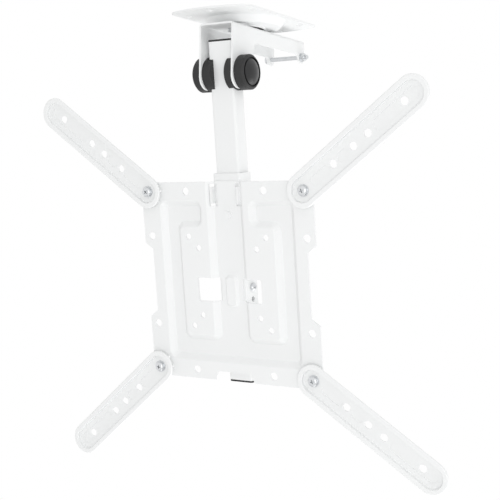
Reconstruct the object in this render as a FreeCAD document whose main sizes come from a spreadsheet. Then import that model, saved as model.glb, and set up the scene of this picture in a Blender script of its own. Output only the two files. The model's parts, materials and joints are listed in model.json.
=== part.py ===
import FreeCAD, Part
import math
import os
import Sketcher

# Folding ceiling mount for a flat screen, in millimetres.
# The origin is the centre of the ceiling plate's upper face, X runs to the right as seen from the
# screen's side, Y runs to the rear and Z points up at the ceiling.

Vector = FreeCAD.Vector
Placement = FreeCAD.Placement
Rotation = FreeCAD.Rotation

SIZES = {
    # Ceiling plate: a pressed sheet with bowed ends and a round boss that stands down from it
    "ceiling_width": 101.0,
    "ceiling_length": 160.0,
    "ceiling_bow": 10.0,
    "ceiling_corner": 9.0,
    "ceiling_sheet": 2.0,
    "boss_radius": 44.5,
    "boss_run": 6.0,
    "boss_depth": 7.5,
    "boss_edge": 2.0,
    "anchor_span_x": 80.0,
    "anchor_span_y": 100.0,
    "anchor_hole": 7.0,
    "end_slot_offset": 69.0,
    "end_slot_width": 7.0,
    "end_slot_run": 6.0,
    # Swivel between ceiling plate and hinge bracket
    "swivel_diameter": 10.0,
    "swivel_head_flats": 16.0,
    "swivel_head_height": 6.0,
    "swivel_washer_radius": 10.5,
    "swivel_washer_sheet": 1.5,
    "swivel_nut_height": 8.0,
    "swivel_tail": 2.0,
    "swivel_range": 30.0,
    "disc_radius": 20.0,
    "disc_sheet": 3.0,
    "clamp_circle": 26.5,
    "clamp_diameter": 8.0,
    "clamp_head_flats": 13.0,
    "clamp_head_height": 5.3,
    "clamp_washer_radius": 8.0,
    "clamp_washer_sheet": 1.6,
    "clamp_tail": 3.5,
    # Hinge bracket: a folded channel with two cheeks and a tail for the cross rod
    "pivot_drop": 64.0,
    "pivot_forward": 36.5,
    "bracket_width": 42.5,
    "bracket_sheet": 2.0,
    "bracket_bend": 1.5,
    "cheek_front": 20.5,
    "cheek_back": 21.0,
    "cheek_bottom": 17.5,
    "cheek_round": 14.0,
    "cheek_neck": 6.0,
    "tail_length": 129.5,
    "tail_depth": 17.3,
    "tab_width": 13.0,
    "tab_depth": 8.5,
    "tab_round": 5.5,
    "tab_neck": 4.0,
    # Cross rod through the tail
    "rod_diameter": 5.0,
    "rod_head_flats": 8.0,
    "rod_head_height": 3.5,
    "rod_nut_height": 4.0,
    "rod_tail": 3.5,
    "rod_washer_radius": 5.2,
    "rod_washer_sheet": 1.0,
    # Hinge pivot with its covers, caps and spacers
    "pivot_diameter": 10.0,
    "pivot_head_flats": 16.0,
    "pivot_head_height": 6.4,
    "pivot_nut_height": 8.0,
    "cover_radius": 18.7,
    "cover_length": 11.5,
    "cover_chamfer": 2.0,
    "cover_bore": 10.2,
    "cover_seat_radius": 15.6,
    "cover_seat_depth": 2.2,
    "cap_radius": 13.6,
    "cap_edge": 0.8,
    "cap_dome": 2.2,
    "cap_plug": 0.7,
    "spacer_radius": 18.7,
    "spacer_wrap": 6.0,
    # Mast
    "rest_lean": 7.8,
    "mast_width": 30.0,
    "mast_depth": 20.0,
    "mast_wall": 1.5,
    "mast_corner": 3.0,
    "mast_above": 34.3,
    "mast_below": 335.0,
    "end_cap_sheet": 2.0,
    "end_cap_plug": 8.0,
    # Carrier: a folded channel round the mast that bears the screen plate
    "carrier_gap": 0.3,
    "carrier_sheet": 2.5,
    "carrier_bend": 3.0,
    "carrier_side": 20.7,
    "carrier_above": 118.0,
    "carrier_below": 45.0,
    "hook_reach": 6.7,
    "hook_height": 18.0,
    "hook_base": 86.0,
    "lock_diameter": 6.0,
    "lock_head_radius": 4.6,
    "lock_head_height": 3.2,
    "lock_offset": 2.0,
    "lock_height": 7.0,
    "lock_pitch": 13.5,
    # Screen plate: a pressed sheet with a sunk pan, two raised pads and a centre strip
    "plate_drop": 223.9,
    "plate_width": 220.0,
    "plate_sheet": 2.0,
    "pan_depth": 6.0,
    "pan_run": 6.0,
    "pan_width": 172.0,
    "pan_height": 179.0,
    "pan_corner": 9.0,
    "press_outside": 2.0,
    "press_inside": 1.0,
    "pad_corner": 4.0,
    "pad_outer": 60.5,
    "pad_narrow": 30.5,
    "pad_height": 121.0,
    "strip_width": 46.0,
    "rib_width": 17.0,
    "rib_top": 8.0,
    "rib_bottom": 28.0,
    "rib_height": 3.0,
    "rib_round": 6.0,
    "side_notch_depth": 10.0,
    "side_notch_inner": 70.0,
    "side_notch_outer": 84.0,
    "foot_notch_depth": 10.0,
    "foot_notch_inner": 43.0,
    "foot_notch_outer": 50.0,
    "window_inner": 13.5,
    "window_outer": 41.0,
    "window_top": 4.5,
    "window_bottom": 21.5,
    "window_round": 2.5,
    "hook_slot_inner": 12.0,
    "hook_slot_outer": 20.5,
    "hook_slot_bottom": 83.0,
    "hook_slot_top": 107.5,
    "pattern_200": 200.0,
    "pattern_100": 100.0,
    "pattern_75": 75.0,
    "flange_hole": 8.5,
    "pad_hole": 6.5,
    "index_circle": 15.5,
    "index_hole": 3.2,
    "plate_screw_height": 73.3,
    "plate_screw_diameter": 5.0,
    "plate_screw_head": 9.0,
    "plate_screw_head_height": 2.2,
    # Extension arms
    "arm_reach": 155.5,
    "arm_width": 36.5,
    "arm_sheet": 2.0,
    "arm_recess": 4.0,
    "arm_rim": 5.7,
    "arm_edge": 0.8,
    "arm_round": 1.5,
    "arm_hole": 8.5,
    "arm_hole_first": 44.5,
    "arm_hole_second": 73.4,
    "arm_hole_third": 94.0,
    "arm_hole_last": 143.4,
    "bead_depth": 0.8,
    "bead_radius": 5.0,
    "arm_angle_tr": 36.3,
    "arm_angle_tl": 36.4,
    "arm_angle_bl": 39.6,
    "arm_angle_br": 33.8,
    "arm_screw_diameter": 6.0,
    "arm_screw_head": 11.0,
    "arm_screw_head_height": 3.4,
    "arm_washer_radius": 6.5,
    "arm_washer_sheet": 1.0,
    "arm_nut_flats": 10.0,
    "arm_nut_height": 5.0,
    "arm_screw_tail": 1.5,
    "cross_width": 1.2,
    "cross_length": 5.6,
    "cross_depth": 1.6,
    # Clearances
    "slide_gap": 0.05,
    "pin_gap": 0.05,
    "plug_gap": 0.1,
    "slot_gap": 0.25,
}

doc = FreeCAD.newDocument("folding_screen_mount")
sheet = doc.addObject("Spreadsheet::Sheet", "Sizes")


class Formula:
    """A length that knows its number and the sheet formula that gives it."""

    def __init__(self, value, text):
        self.value = float(value)
        self.text = text

    def __add__(self, other):
        other = formula(other)
        return Formula(self.value + other.value, "(%s + %s)" % (self.text, other.text))

    def __sub__(self, other):
        other = formula(other)
        return Formula(self.value - other.value, "(%s - %s)" % (self.text, other.text))

    def __mul__(self, other):
        other = formula(other)
        return Formula(self.value * other.value, "(%s * %s)" % (self.text, other.text))

    def __truediv__(self, other):
        other = formula(other)
        return Formula(self.value / other.value, "(%s / %s)" % (self.text, other.text))

    def __neg__(self):
        return Formula(-self.value, "(0 - %s)" % self.text)

    def __radd__(self, other):
        return formula(other) + self

    def __rsub__(self, other):
        return formula(other) - self

    def __rmul__(self, other):
        return formula(other) * self


def formula(size):
    if isinstance(size, Formula):
        return size
    return Formula(size, repr(float(size)))


class SizeTable:
    """Fills the sheet and hands out its cells as formulas."""

    def __init__(self, sizes):
        for row, (name, value) in enumerate(sizes.items(), 1):
            sheet.set("A%d" % row, name)
            sheet.set("B%d" % row, str(value))
            sheet.setAlias("B%d" % row, name)
            setattr(self, name, Formula(value, "Sizes." + name))
        doc.recompute()


d = SizeTable(SIZES)


def bind(thing, **sizes):
    for name, size in sizes.items():
        thing.setExpression(name, formula(size).text)


def point(x, y, z=0):
    return Vector(formula(x).value, formula(y).value, formula(z).value)


def polar(radius, degrees):
    """A point on a circle, each coordinate a formula of the radius."""
    angle = math.radians(degrees)
    return radius * round(math.cos(angle), 9), radius * round(math.sin(angle), 9)


# Sketches

class Outline:
    """Constrained shapes in one sketch of a body; lift shifts it along the plane's normal."""

    def __init__(self, body, plane, lift=0):
        self.sketch = body.newObject("Sketcher::SketchObject", body.Name + "_outline")
        support = next(f for f in body.Origin.OriginFeatures if f.Role == plane)
        self.sketch.AttachmentSupport = [(support, "")]
        self.sketch.MapMode = "FlatFace"
        self.sketch.setExpression("AttachmentOffset.Base.z", formula(lift).text)

    def rule(self, kind, *references):
        return self.sketch.addConstraint(Sketcher.Constraint(kind, *references))

    def measure(self, kind, *references, size):
        size = formula(size)
        index = self.rule(kind, *references, size.value)
        self.sketch.setExpression("Constraints[%d]" % index, size.text)

    def pin(self, shape, end, x, y):
        self.measure("DistanceX", -1, 1, shape, end, size=x)
        self.measure("DistanceY", -1, 1, shape, end, size=y)

    def line(self, start, end):
        return self.sketch.addGeometry(Part.LineSegment(start, end), False)

    def arc(self, centre, start, end):
        """An arc that runs anticlockwise from start to end."""
        first = math.atan2(start.y - centre.y, start.x - centre.x)
        last = math.atan2(end.y - centre.y, end.x - centre.x)
        circle = Part.Circle(centre, Vector(0, 0, 1), start.distanceToPoint(centre))
        return self.sketch.addGeometry(Part.ArcOfCircle(circle, first, last), False)

    def circle(self, x, y, radius):
        drawn = Part.Circle(point(x, y), Vector(0, 0, 1), formula(radius).value)
        shape = self.sketch.addGeometry(drawn, False)
        self.pin(shape, 3, x, y)
        self.measure("Radius", shape, size=radius)

    def polygon(self, corners, arcs=None):
        """A closed outline given anticlockwise; arcs names sides that bulge outward, by radius."""
        arcs = arcs or {}
        sides = []
        for index, corner in enumerate(corners):
            start = point(*corner)
            end = point(*corners[(index + 1) % len(corners)])
            if index in arcs:
                chord = end - start
                inward = Vector(-chord.y, chord.x, 0).normalize()
                rise = math.sqrt(formula(arcs[index]).value ** 2 - (chord.Length / 2) ** 2)
                sides.append(self.arc((start + end) / 2 + inward * rise, start, end))
            else:
                sides.append(self.line(start, end))
        for index, corner in enumerate(corners):
            self.rule("Coincident", sides[index - 1], 2, sides[index], 1)
            self.pin(sides[index], 1, *corner)
        for index, radius in arcs.items():
            self.measure("Radius", sides[index], size=radius)

    def stepped(self, corners, radii):
        """A closed outline of level and upright sides, each corner rounded by its own radius or none."""
        count = len(corners)
        spots = [point(*corner) for corner in corners]
        reach = [formula(radius).value if radius else 0.0 for radius in radii]
        heading = [(spots[(i + 1) % count] - spots[i]).normalize() for i in range(count)]
        sides = []
        for i in range(count):
            start = spots[i] + heading[i] * reach[i]
            end = spots[(i + 1) % count] - heading[i] * reach[(i + 1) % count]
            sides.append(self.line(start, end))
            level = abs(heading[i].x) > 0.5
            self.rule("Horizontal" if level else "Vertical", sides[i])
            if level:
                self.measure("DistanceY", -1, 1, sides[i], 1, size=corners[i][1])
            else:
                self.measure("DistanceX", -1, 1, sides[i], 1, size=corners[i][0])
        for i in range(count):
            before, after = sides[i - 1], sides[i]
            if not radii[i]:
                self.rule("Coincident", before, 2, after, 1)
                continue
            come = spots[i] - heading[i - 1] * reach[i]
            leave = spots[i] + heading[i] * reach[i]
            centre = come + leave - spots[i]
            left_turn = heading[i - 1].cross(heading[i]).z > 0
            arc = self.arc(centre, come, leave) if left_turn else self.arc(centre, leave, come)
            self.rule("Tangent", before, 2, arc, 1 if left_turn else 2)
            self.rule("Tangent", arc, 2 if left_turn else 1, after, 1)
            self.measure("Radius", arc, size=radii[i])

    def stadium(self, first, last, radius):
        """A long hole or tab with round ends about two centres that share a level or an upright line."""
        ends = [point(*first), point(*last)]
        along = (ends[1] - ends[0]).normalize()
        side = Vector(-along.y, along.x, 0) * formula(radius).value
        caps = [self.arc(ends[0], ends[0] + side, ends[0] - side),
                self.arc(ends[1], ends[1] - side, ends[1] + side)]
        lines = [self.line(ends[0] - side, ends[1] - side), self.line(ends[1] + side, ends[0] + side)]
        self.pin(caps[0], 3, *first)
        self.pin(caps[1], 3, *last)
        self.rule("Tangent", caps[0], 2, lines[0], 1)
        self.rule("Tangent", lines[0], 2, caps[1], 1)
        self.rule("Tangent", caps[1], 2, lines[1], 1)
        self.rule("Tangent", lines[1], 2, caps[0], 1)
        self.measure("Radius", caps[0], size=radius)
        self.rule("Equal", caps[0], caps[1])

    def curved_slot(self, circle, middle, half_angle, radius):
        """A slot along a circle about the origin, its end centres at middle minus and plus half_angle."""
        near, far = middle - half_angle, middle + half_angle
        centre = Vector()
        spots = {}
        for name, angle in (("near", near), ("far", far)):
            for side, r in (("in", circle - radius), ("out", circle + radius), ("mid", circle)):
                spots[name, side] = point(*polar(r, angle))
        outer = self.arc(centre, spots["near", "out"], spots["far", "out"])
        inner = self.arc(centre, spots["near", "in"], spots["far", "in"])
        start = self.arc(spots["near", "mid"], spots["near", "in"], spots["near", "out"])
        finish = self.arc(spots["far", "mid"], spots["far", "out"], spots["far", "in"])
        for shape in (outer, inner):
            self.rule("Coincident", shape, 3, -1, 1)
        self.measure("Radius", outer, size=circle + radius)
        self.measure("Radius", inner, size=circle - radius)
        self.rule("Tangent", start, 2, outer, 1)
        self.rule("Tangent", start, 1, inner, 1)
        self.rule("Tangent", finish, 1, outer, 2)
        self.rule("Tangent", finish, 2, inner, 2)
        self.measure("DistanceX", -1, 1, start, 3, size=polar(circle, near)[0])
        self.measure("DistanceX", -1, 1, finish, 3, size=polar(circle, far)[0])


# Solids

NODES = {}


def keep(name, thing, frame=None):
    """Names a finished piece and puts it in its frame."""
    thing.Label = name
    if frame is not None:
        thing.Placement = frame
    NODES[name] = thing
    return thing


def new_body(name):
    return doc.addObject("PartDesign::Body", name + "_body")


def grow(body, kind, outline, length, flip=False, taper=None, both=False):
    """A pad or a pocket of one outline; taper leans its walls inward by an angle formula."""
    before = body.Shape.Volume if body.Tip else 0.0
    feature = body.newObject("PartDesign::" + kind, body.Name + "_" + kind.lower())
    feature.Profile = outline.sketch
    bind(feature, Length=length)
    feature.Reversed = flip
    feature.SideType = "Symmetric" if both else "One side"
    if taper is not None:
        bind(feature, TaperAngle=taper)
    body.Tip = feature
    doc.recompute()
    change = body.Shape.Volume - before
    if (change > 0) != (kind == "Pad") or abs(change) < 1e-3:
        raise RuntimeError("%s changes nothing on %s" % (feature.Name, body.Name))
    return feature


def pad(body, outline, length, **options):
    return grow(body, "Pad", outline, length, **options)


def pocket(body, outline, length, **options):
    return grow(body, "Pocket", outline, length, **options)


def inward_lean(run, depth):
    """The taper of a pressed wall that runs in by one size over the depth of another."""
    angle = -math.degrees(math.atan2(run.value, depth.value))
    return Formula(angle, "-atan(%s / %s)" % (run.text, depth.text))


def round_edges(body, radius, wanted):
    """Fillets the edges of a body's last feature that the test picks."""
    names = ["Edge%d" % number for number, edge in enumerate(body.Shape.Edges, 1) if wanted(edge)]
    if not names:
        raise RuntimeError("no edge to round on " + body.Name)
    last = body.Tip
    fillet = body.newObject("PartDesign::Fillet", body.Name + "_fillet")
    fillet.Base = (last, names)
    bind(fillet, Radius=radius)
    body.Tip = fillet
    doc.recompute()


def lies_at(edge, axis, level):
    """Whether an edge lies wholly in the plane at a level along an axis."""
    return all(abs(spot.dot(axis) - level) < 1e-3 for spot in edge.discretize(5))


def runs_along(edge, axis):
    if not isinstance(edge.Curve, Part.Line):
        return False
    return abs(abs(edge.Curve.Direction.dot(axis)) - 1) < 1e-6


def turned(name, corners, arcs=None):
    """A body of revolution about X; corners are pairs of place along X and radius, anticlockwise."""
    body = new_body(name)
    outline = Outline(body, "XY_Plane")
    outline.polygon(corners, arcs)
    feature = body.newObject("PartDesign::Revolution", name + "_turn")
    feature.Profile = outline.sketch
    feature.ReferenceAxis = (outline.sketch, ["H_Axis"])
    feature.Angle = 360
    body.Tip = feature
    doc.recompute()
    return body


AXES = {
    "x": Rotation(Vector(0, 1, 0), 90),
    "-x": Rotation(Vector(0, 1, 0), -90),
    "y": Rotation(Vector(1, 0, 0), -90),
    "-y": Rotation(Vector(1, 0, 0), 90),
    "z": Rotation(),
    "-z": Rotation(Vector(1, 0, 0), 180),
}


def cylinder(name, radius, length, base, axis):
    thing = doc.addObject("Part::Cylinder", name)
    bind(thing, Radius=radius, Height=length)
    thing.Placement = Placement(point(*base), AXES[axis])
    return thing


def hexagon(name, flats, length, base, axis):
    thing = doc.addObject("Part::Prism", name)
    thing.Polygon = 6
    bind(thing, Circumradius=flats / math.sqrt(3), Height=length)
    thing.Placement = Placement(point(*base), AXES[axis])
    return thing


def slab(name, length, width, height, middle):
    """A box about the middle of its lower face."""
    thing = doc.addObject("Part::Box", name)
    bind(thing, Length=length, Width=width, Height=height)
    corner = point(*middle) - Vector(formula(length).value / 2, formula(width).value / 2, 0)
    thing.Placement = Placement(corner, Rotation())
    return thing


def join(name, *pieces):
    thing = doc.addObject("Part::MultiFuse", name)
    thing.Shapes = list(pieces)
    return thing


def take(name, base, tool):
    thing = doc.addObject("Part::Cut", name)
    thing.Base = base
    thing.Tool = tool
    return thing


def group(name, pieces):
    thing = doc.addObject("Part::Compound", name)
    thing.Links = list(pieces)
    return thing


def ring(name, radius, bore, length, base, axis):
    blank = cylinder(name + "_disc", radius, length, base, axis)
    return take(name, blank, cylinder(name + "_bore", bore, length, base, axis))


def hex_nut(name, flats, bore, length, base, axis):
    blank = hexagon(name + "_hex", flats, length, base, axis)
    return take(name, blank, cylinder(name + "_bore", bore, length, base, axis))


# Places that several pieces share

disc_top = -(d.ceiling_sheet + d.boss_depth)
web_top = disc_top - d.disc_sheet
web_bottom = web_top - d.bracket_sheet
bracket_half = d.bracket_width / 2
inner_half = bracket_half - d.bracket_sheet
mast_half = d.mast_width / 2
mast_front = d.mast_depth / 2
carrier_inner = mast_half + d.carrier_gap
carrier_half = carrier_inner + d.carrier_sheet
carrier_face = mast_front + d.carrier_gap + d.carrier_sheet
plate_stand = carrier_face + d.plate_sheet + d.pan_depth
rod_y = d.tail_length - d.tab_width / 2
tail_under = d.pivot_drop + web_top - d.tail_depth
rod_z = tail_under - d.tab_depth + d.tab_width / 2
pivot_bore = d.pivot_diameter / 2 + d.pin_gap
arm_seat = d.slide_gap + d.arm_sheet

hinge_frame = Placement(point(0, -d.pivot_forward, -d.pivot_drop), Rotation())
mast_frame = hinge_frame * Placement(Vector(), Rotation(Vector(1, 0, 0), d.rest_lean.value))
plate_frame = mast_frame * Placement(point(0, -plate_stand, -d.plate_drop), Rotation())
CORNERS = {"tr": (1, 1), "tl": (-1, 1), "bl": (-1, -1), "br": (1, -1)}


# Ceiling plate and swivel

def on_boss(edge, level):
    """Whether an edge is one of the boss's own at a depth below the ceiling."""
    if not isinstance(edge.Curve, Part.Circle):
        return False
    reach = Vector(edge.CenterOfMass.x, edge.CenterOfMass.y).Length
    return reach < 1 and lies_at(edge, Vector(0, 0, -1), level.value)


def ceiling_plate():
    body = new_body("ceiling_plate")
    half_width = d.ceiling_width / 2
    straight = d.ceiling_length / 2 - d.ceiling_bow
    bow_radius = (half_width * half_width + d.ceiling_bow * d.ceiling_bow) / (2 * d.ceiling_bow)
    blank = Outline(body, "XY_Plane")
    blank.polygon(rectangle(half_width, straight), {0: bow_radius, 2: bow_radius})
    pad(body, blank, d.ceiling_sheet, flip=True)
    round_edges(body, d.ceiling_corner, lambda edge: runs_along(edge, Vector(0, 0, 1)))

    lean = inward_lean(d.boss_run, d.boss_depth)
    boss = Outline(body, "XY_Plane", -d.ceiling_sheet)
    boss.circle(0, 0, d.boss_radius)
    pad(body, boss, d.boss_depth, flip=True, taper=lean)
    hollow = Outline(body, "XY_Plane")
    hollow.circle(0, 0, d.boss_radius)
    pocket(body, hollow, d.boss_depth, taper=lean)
    for level in (d.ceiling_sheet, d.ceiling_sheet + d.boss_depth):
        round_edges(body, d.boss_edge, lambda edge: on_boss(edge, level))

    cuts = Outline(body, "XY_Plane")
    cuts.circle(0, 0, d.swivel_diameter / 2)
    for middle in (90, 270):
        cuts.curved_slot(d.clamp_circle, middle, d.swivel_range.value, d.clamp_diameter / 2 + d.slot_gap)
    pocket(body, cuts, d.ceiling_sheet + d.boss_depth)
    cuts = Outline(body, "XY_Plane")
    for x, y in CORNERS.values():
        cuts.circle(d.anchor_span_x / 2 * x, d.anchor_span_y / 2 * y, d.anchor_hole / 2)
    for y in (1, -1):
        middle = d.end_slot_offset * y
        reach = d.end_slot_run / 2
        cuts.stadium((0, middle - reach), (0, middle + reach), d.end_slot_width / 2)
    pocket(body, cuts, d.ceiling_sheet)
    return keep("ceiling_plate", body)


def swivel():
    bore = d.swivel_diameter / 2
    head_base = -d.boss_depth
    washer_top = web_bottom - d.slide_gap
    nut_top = washer_top - d.swivel_washer_sheet
    tail = d.swivel_nut_height + d.swivel_tail
    head = hexagon("swivel_head", d.swivel_head_flats, d.swivel_head_height, (0, 0, head_base), "z")
    shank = cylinder("swivel_shank", bore, head_base - nut_top + tail, (0, 0, head_base), "-z")
    keep("swivel_bolt", join("swivel_bolt_solid", head, shank))
    keep("swivel_washer", ring("swivel_washer_solid", d.swivel_washer_radius, bore, d.swivel_washer_sheet,
                               (0, 0, washer_top), "-z"))
    keep("swivel_nut", hex_nut("swivel_nut_solid", d.swivel_head_flats, bore, d.swivel_nut_height,
                               (0, 0, nut_top), "-z"))
    keep("friction_disc", ring("friction_disc_solid", d.disc_radius, bore + d.pin_gap,
                               d.disc_sheet - d.slide_gap, (0, 0, web_top), "z"))

    washer_base = -d.boss_depth + d.slide_gap
    head_base = washer_base + d.clamp_washer_sheet
    screws, washers = [], []
    for side, y in (("front", -d.clamp_circle), ("rear", d.clamp_circle)):
        head = hexagon("clamp_head_" + side, d.clamp_head_flats, d.clamp_head_height, (0, y, head_base), "z")
        shank = cylinder("clamp_shank_" + side, d.clamp_diameter / 2, head_base - web_bottom + d.clamp_tail,
                         (0, y, head_base), "-z")
        screws.append(join("clamp_screw_" + side, head, shank))
        washers.append(ring("clamp_washer_" + side, d.clamp_washer_radius, d.clamp_diameter / 2,
                            d.clamp_washer_sheet, (0, y, washer_base), "z"))
    keep("clamp_screws", group("clamp_screw_pair", screws))
    keep("clamp_washers", group("clamp_washer_pair", washers))


# Hinge bracket, cross rod and pivot

def hinge_bracket():
    body = new_body("hinge_bracket")
    top = d.pivot_drop + web_top
    tab_bottom = tail_under - d.tab_depth
    side = Outline(body, "YZ_Plane")
    corners = [
        (-d.cheek_front, -d.cheek_bottom),
        (d.cheek_back, -d.cheek_bottom),
        (d.cheek_back, tail_under),
        (d.tail_length - d.tab_width, tail_under),
        (d.tail_length - d.tab_width, tab_bottom),
        (d.tail_length, tab_bottom),
        (d.tail_length, top),
        (-d.cheek_front, top),
    ]
    radii = [d.cheek_round, d.cheek_round, d.cheek_neck, d.tab_neck, d.tab_round, d.tab_round, None, None]
    side.stepped(corners, radii)
    pad(body, side, d.bracket_width, both=True)
    bend = d.bracket_bend + d.bracket_sheet
    web_height = top.value

    def long_top_edge(edge):
        return runs_along(edge, Vector(0, 1, 0)) and abs(edge.CenterOfMass.z - web_height) < 1e-3

    round_edges(body, bend, long_top_edge)
    channel = Outline(body, "XZ_Plane")
    floor = -d.cheek_bottom - d.bracket_sheet
    ceiling = top - d.bracket_sheet
    corners = [(-inner_half, floor), (inner_half, floor), (inner_half, ceiling), (-inner_half, ceiling)]
    channel.stepped(corners, [None, None, d.bracket_bend, d.bracket_bend])
    pocket(body, channel, (d.tail_length + d.cheek_front) * 2, both=True)
    cross = Outline(body, "YZ_Plane")
    cross.circle(0, 0, d.pivot_diameter / 2)
    cross.circle(rod_y, rod_z, d.rod_diameter / 2)
    pocket(body, cross, d.bracket_width * 2, both=True)
    web = Outline(body, "XY_Plane", top)
    web.circle(0, d.pivot_forward, d.swivel_diameter / 2 + d.pin_gap)
    for y in (-d.clamp_circle, d.clamp_circle):
        web.circle(0, d.pivot_forward + y, d.clamp_diameter / 2)
    pocket(body, web, d.bracket_sheet * 2)
    return keep("hinge_bracket", body, hinge_frame)


def cross_rod():
    bore = d.rod_diameter / 2
    outer = bracket_half + d.rod_washer_sheet
    head = hexagon("rod_head", d.rod_head_flats, d.rod_head_height, (-outer, rod_y, rod_z), "-x")
    length = outer * 2 + d.rod_nut_height + d.rod_tail
    shank = cylinder("rod_shank", bore, length, (-outer, rod_y, rod_z), "x")
    keep("stop_rod", join("stop_rod_solid", head, shank), hinge_frame)
    washers = [
        ring("rod_washer_left", d.rod_washer_radius, bore, d.rod_washer_sheet,
             (-bracket_half, rod_y, rod_z), "-x"),
        ring("rod_washer_right", d.rod_washer_radius, bore, d.rod_washer_sheet,
             (bracket_half, rod_y, rod_z), "x"),
    ]
    keep("rod_washers", group("rod_washer_pair", washers), hinge_frame)
    nut = hex_nut("rod_nut_solid", d.rod_head_flats, bore, d.rod_nut_height, (outer, rod_y, rod_z), "x")
    keep("rod_nut", nut, hinge_frame)


def pivot():
    bore = d.pivot_diameter / 2
    head = hexagon("pivot_head", d.pivot_head_flats, d.pivot_head_height, (bracket_half, 0, 0), "x")
    shank = cylinder("pivot_shank", bore, d.bracket_width + d.pivot_nut_height, (bracket_half, 0, 0), "-x")
    keep("pivot_bolt", join("pivot_bolt_solid", head, shank), hinge_frame)
    nut = hex_nut("pivot_nut_solid", d.pivot_head_flats, bore, d.pivot_nut_height,
                  (-bracket_half, 0, 0), "-x")
    keep("pivot_nut", nut, hinge_frame)

    seat = d.cover_length - d.cover_seat_depth
    rim = d.cover_radius - d.cover_chamfer
    cover = [(0, d.cover_bore), (seat, d.cover_bore), (seat, d.cover_seat_radius),
             (d.cover_length, d.cover_seat_radius), (d.cover_length, rim),
             (d.cover_length - d.cover_chamfer, d.cover_radius), (0, d.cover_radius)]
    dome_radius = (d.cap_radius * d.cap_radius + d.cap_dome * d.cap_dome) / (2 * d.cap_dome)
    crown = seat + d.cap_edge
    plug_radius = d.cover_bore - d.plug_gap
    cap = [(seat - d.cap_plug, 0), (crown + d.cap_dome, 0), (crown, d.cap_radius), (seat, d.cap_radius),
           (seat, plug_radius), (seat - d.cap_plug, plug_radius)]
    hub = inner_half - mast_half - d.slide_gap
    reach = hub + d.spacer_wrap
    spacer = [(d.slide_gap, pivot_bore), (reach, pivot_bore), (reach, d.spacer_radius),
              (d.slide_gap, d.spacer_radius)]
    seat_half = mast_front + d.pin_gap
    mast_seat = [(hub, -seat_half), (reach * 2, -seat_half), (reach * 2, seat_half), (hub, seat_half)]
    outward = {"right": Rotation(), "left": Rotation(Vector(0, 0, 1), 180)}
    inward = {"right": Rotation(Vector(0, 0, 1), 180), "left": Rotation()}
    for side, sign in (("right", 1), ("left", -1)):
        outer_face = hinge_frame * Placement(point(bracket_half * sign, 0), outward[side])
        inner_face = mast_frame * Placement(point(inner_half * sign, 0), inward[side])
        keep("cover_" + side, turned("cover_" + side, cover), outer_face)
        keep("cap_" + side, turned("cap_" + side, cap, {1: dome_radius}), outer_face)
        hub_body = turned("spacer_" + side, spacer)
        opening = Outline(hub_body, "XY_Plane")
        opening.stepped(mast_seat, [None] * 4)
        pocket(hub_body, opening, d.spacer_radius * 4, both=True)
        keep("spacer_" + side, hub_body, inner_face)


# Mast, its end caps and the carrier

def rectangle(half_x, half_y):
    return [(-half_x, -half_y), (half_x, -half_y), (half_x, half_y), (-half_x, half_y)]


def mast_tube():
    body = new_body("mast_tube")
    length = d.mast_above + d.mast_below
    section = Outline(body, "XY_Plane", -d.mast_below)
    section.stepped(rectangle(mast_half, mast_front), [d.mast_corner] * 4)
    inside = d.mast_corner - d.mast_wall
    section.stepped(rectangle(mast_half - d.mast_wall, mast_front - d.mast_wall), [inside] * 4)
    pad(body, section, length)
    holes = Outline(body, "YZ_Plane")
    holes.circle(0, 0, pivot_bore)
    for height in lock_heights():
        holes.circle(-d.lock_offset, height, d.lock_diameter / 2)
    pocket(body, holes, d.mast_width * 2, both=True)
    return keep("mast_tube", body, mast_frame)


def mast_cap(name, base, up):
    """A moulded plug: a flange the size of the tube's section and a block that fills its bore."""
    body = new_body(name)
    flange = Outline(body, "XY_Plane", base)
    flange.stepped(rectangle(mast_half, mast_front), [d.mast_corner] * 4)
    pad(body, flange, d.end_cap_sheet, flip=not up)
    plug = Outline(body, "XY_Plane", base)
    fit = d.mast_wall + d.plug_gap
    plug.stepped(rectangle(mast_half - fit, mast_front - fit), [d.mast_corner - d.mast_wall] * 4)
    pad(body, plug, d.end_cap_plug, flip=up)
    return keep(name, body, mast_frame)


def lock_heights():
    """Heights of the two carrier screws in the mast's frame."""
    upper = -d.plate_drop - d.lock_height
    return [upper, upper - d.lock_pitch]


def carrier():
    body = new_body("carrier")
    rear = d.carrier_side - carrier_face
    inner_face = mast_front + d.carrier_gap
    section = Outline(body, "XY_Plane", -d.plate_drop - d.carrier_below)
    corners = [
        (-carrier_half, -carrier_face), (carrier_half, -carrier_face),
        (carrier_half, rear), (carrier_inner, rear),
        (carrier_inner, -inner_face), (-carrier_inner, -inner_face),
        (-carrier_inner, rear), (-carrier_half, rear),
    ]
    bend = d.carrier_bend
    inside = d.carrier_bend - d.carrier_sheet
    section.stepped(corners, [bend, bend, None, None, inside, inside, None, None])
    pad(body, section, d.carrier_above + d.carrier_below)
    hooks = Outline(body, "XY_Plane", d.hook_base - d.plate_drop)
    for sign in (1, -1):
        near, far = (carrier_inner, carrier_half) if sign > 0 else (-carrier_half, -carrier_inner)
        front = -(carrier_face + d.hook_reach)
        hooks.stepped([(near, front), (far, front), (far, -inner_face), (near, -inner_face)], [None] * 4)
    pad(body, hooks, d.hook_height)
    holes = Outline(body, "YZ_Plane")
    for height in lock_heights():
        holes.circle(-d.lock_offset, height, d.lock_diameter / 2)
    pocket(body, holes, carrier_half * 4, both=True)
    front = Outline(body, "XZ_Plane")
    front.circle(0, d.plate_screw_height - d.plate_drop, d.plate_screw_diameter / 2)
    pocket(body, front, carrier_face * 2, flip=True)
    return keep("carrier", body, mast_frame)


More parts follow.
